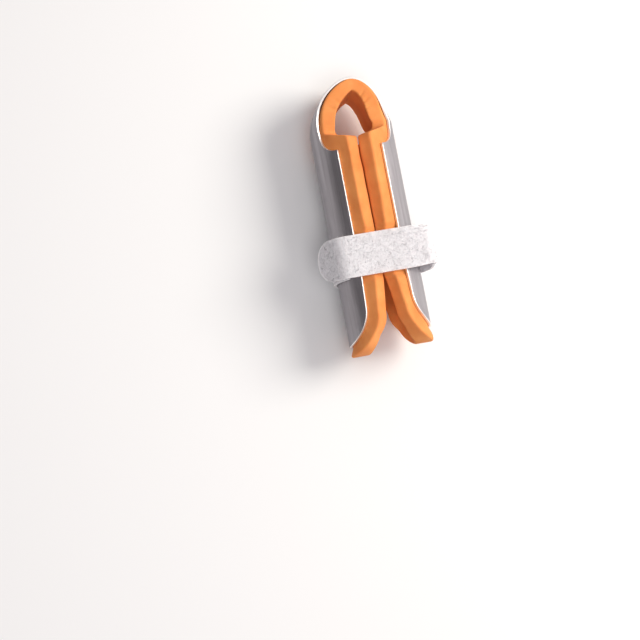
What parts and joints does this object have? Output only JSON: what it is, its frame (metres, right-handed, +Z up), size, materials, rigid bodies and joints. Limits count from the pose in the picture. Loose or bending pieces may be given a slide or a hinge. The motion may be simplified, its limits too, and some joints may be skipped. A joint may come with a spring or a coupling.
{
  "type": "finger splint",
  "caption": "Fold-over finger splint: a bent aluminium sheet lined with foam, folded over the fingertip and closed by a hook-and-loop strap.",
  "frame": {"origin": "on the surface that the splint lies on, under the middle of its box", "axes": "+Y along the finger towards the fold over its tip, +Z up, with the slit between the foam lips facing up, +X to the side of the strap's slack loop"},
  "size_m": [0.0368, 0.0858, 0.0249],
  "materials": {
    "satin_aluminium": "satin, with bright cut edges",
    "orange_foam": "matte closed-cell foam",
    "white_strap": "brushed loop tape",
    "hook_plastic": "moulded hooks"
  },
  "bodies": {
    "root": {"aluminium_shell": "satin_aluminium", "foam_lining": "orange_foam", "strap": "white_strap", "hook_patch": "hook_plastic"}
  },
  "joints": []
}
